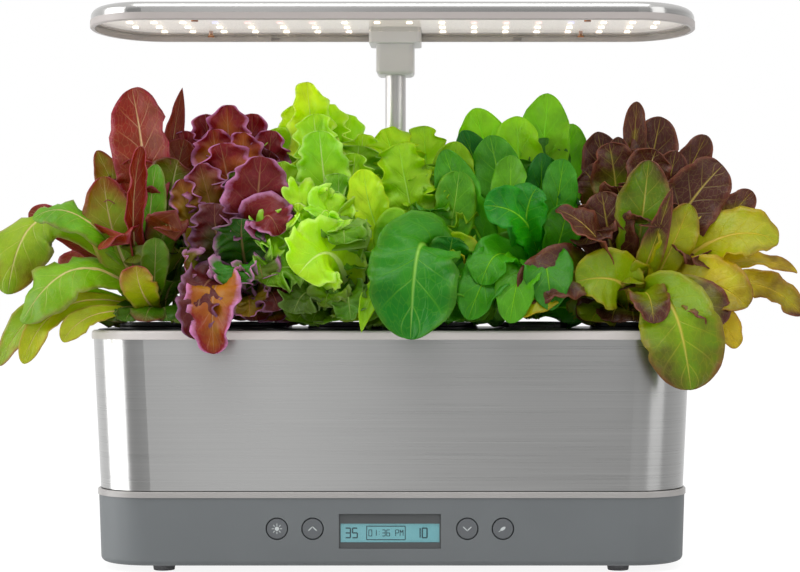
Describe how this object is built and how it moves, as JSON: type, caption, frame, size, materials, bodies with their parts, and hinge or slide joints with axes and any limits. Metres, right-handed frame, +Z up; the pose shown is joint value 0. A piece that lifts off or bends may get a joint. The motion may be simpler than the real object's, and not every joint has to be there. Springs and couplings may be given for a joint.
{
  "type": "countertop hydroponic garden",
  "caption": "Slim countertop hydroponic garden: steel-clad water bowl on a powered base, planted pods in its deck and an LED hood on a telescoping post.",
  "frame": {"origin": "centre of the footprint on the surface that the feet stand on", "axes": "+Z up, front with the control panel towards -Y, +X to the right seen from the front"},
  "size_m": [0.5102, 0.182, 0.3646],
  "materials": {
    "base_plastic": "satin",
    "dark_plastic": "satin",
    "button_plastic": "satin",
    "rim_plastic": "satin",
    "bracket_plastic": "satin",
    "stainless": "satin",
    "post_steel": "polished",
    "screw_steel": "satin",
    "foot_rubber": "matte",
    "circuit_board": "satin",
    "switch_plastic": "matte",
    "lead_rubber": "matte",
    "clear_acrylic": "gloss",
    "lcd_glass": "gloss",
    "led_white": "gloss",
    "led_red": "gloss",
    "led_blue": "gloss",
    "filter_foam": "matte",
    "basket_plastic": "satin",
    "sponge_foam": "matte",
    "leaf_red_green": "satin",
    "leaf_frilly_red": "satin",
    "leaf_frilly_green": "satin",
    "leaf_green": "satin",
    "leaf_deep_green": "satin",
    "leaf_burgundy": "satin"
  },
  "bodies": {
    "base": {"base_housing": "base_plastic", "trim_band": "rim_plastic", "bottom_plate": "base_plastic", "rubber_feet": "foot_rubber", "bottom_screws": "screw_steel", "display_bezel": "dark_plastic", "display_lcd": "lcd_glass", "display_window": "clear_acrylic", "control_board": "circuit_board", "tact_switches": "switch_plastic", "power_board": "circuit_board", "dc_inlet": "dark_plastic", "lower_post": "post_steel", "post_guide_bush": "bracket_plastic", "lamp_lead": "lead_rubber"},
    "light_button": {"button_light": "button_plastic"},
    "up_button": {"button_up": "button_plastic"},
    "down_button": {"button_down": "button_plastic"},
    "food_button": {"button_food": "button_plastic"},
    "lamp": {"upper_post": "post_steel", "post_friction_shoe": "bracket_plastic", "hood_bracket": "bracket_plastic", "hood_frame": "rim_plastic", "hood_cover": "stainless", "led_board": "circuit_board", "white_leds": "led_white", "red_leds": "led_red", "blue_leds": "led_blue", "led_lens": "clear_acrylic", "lens_screws": "screw_steel"},
    "bowl": {"bowl_liner": "dark_plastic", "bowl_wrap": "stainless", "bowl_rim": "rim_plastic", "pump_body": "dark_plastic", "pump_cover": "dark_plastic", "pump_filter": "filter_foam", "pump_outlet": "dark_plastic", "impeller_shaft": "post_steel"},
    "impeller": {"pump_impeller": "dark_plastic"},
    "deck": {"grow_deck": "dark_plastic"},
    "filling_lid": {"fill_lid": "dark_plastic"},
    "pod_1": {"basket_1": "basket_plastic", "sponge_1": "sponge_foam", "plant_1": "leaf_red_green"},
    "pod_2": {"basket_2": "basket_plastic", "sponge_2": "sponge_foam", "plant_2": "leaf_frilly_red"},
    "pod_3": {"basket_3": "basket_plastic", "sponge_3": "sponge_foam", "plant_3": "leaf_frilly_green"},
    "pod_4": {"basket_4": "basket_plastic", "sponge_4": "sponge_foam", "plant_4": "leaf_green"},
    "pod_5": {"basket_5": "basket_plastic", "sponge_5": "sponge_foam", "plant_5": "leaf_deep_green"},
    "pod_6": {"basket_6": "basket_plastic", "sponge_6": "sponge_foam", "plant_6": "leaf_burgundy"}
  },
  "joints": [
    {"name": "lamp_lift", "type": "slide", "parent": "base", "child": "lamp", "axis": [0, 0, 1], "range_m": [-0.02, 0.11], "deforming": ["lamp_lead"]},
    {"name": "bowl_lift", "type": "slide", "parent": "base", "child": "bowl", "axis": [0, 0, 1], "range_m": [0, 0.02]},
    {"name": "pump_spin", "type": "hinge", "parent": "bowl", "child": "impeller", "pos_m": [-0.0745, 0, 0.07], "axis": [0, 0, 1], "continuous": true},
    {"name": "deck_lift", "type": "slide", "parent": "bowl", "child": "deck", "axis": [0, 0, 1], "range_m": [0, 0.02]},
    {"name": "lid_swing", "type": "hinge", "parent": "deck", "child": "filling_lid", "pos_m": [0.093, -0.023, 0.1576], "axis": [-1, 0, 0], "range_deg": [0, 100]},
    {"name": "light_press", "type": "slide", "parent": "base", "child": "light_button", "axis": [0, 1, 0], "range_m": [0, 0.0008], "stiffness_N_per_m": 300},
    {"name": "up_press", "type": "slide", "parent": "base", "child": "up_button", "axis": [0, 1, 0], "range_m": [0, 0.0008], "stiffness_N_per_m": 300},
    {"name": "down_press", "type": "slide", "parent": "base", "child": "down_button", "axis": [0, 1, 0], "range_m": [0, 0.0008], "stiffness_N_per_m": 300},
    {"name": "food_press", "type": "slide", "parent": "base", "child": "food_button", "axis": [0, 1, 0], "range_m": [0, 0.0008], "stiffness_N_per_m": 300},
    {"name": "pod_1_lift", "type": "slide", "parent": "deck", "child": "pod_1", "axis": [0, 0, 1], "range_m": [0, 0.025]},
    {"name": "pod_2_lift", "type": "slide", "parent": "deck", "child": "pod_2", "axis": [0, 0, 1], "range_m": [0, 0.025]},
    {"name": "pod_3_lift", "type": "slide", "parent": "deck", "child": "pod_3", "axis": [0, 0, 1], "range_m": [0, 0.025]},
    {"name": "pod_4_lift", "type": "slide", "parent": "deck", "child": "pod_4", "axis": [0, 0, 1], "range_m": [0, 0.025]},
    {"name": "pod_5_lift", "type": "slide", "parent": "deck", "child": "pod_5", "axis": [0, 0, 1], "range_m": [0, 0.025]},
    {"name": "pod_6_lift", "type": "slide", "parent": "deck", "child": "pod_6", "axis": [0, 0, 1], "range_m": [0, 0.025]}
  ]
}
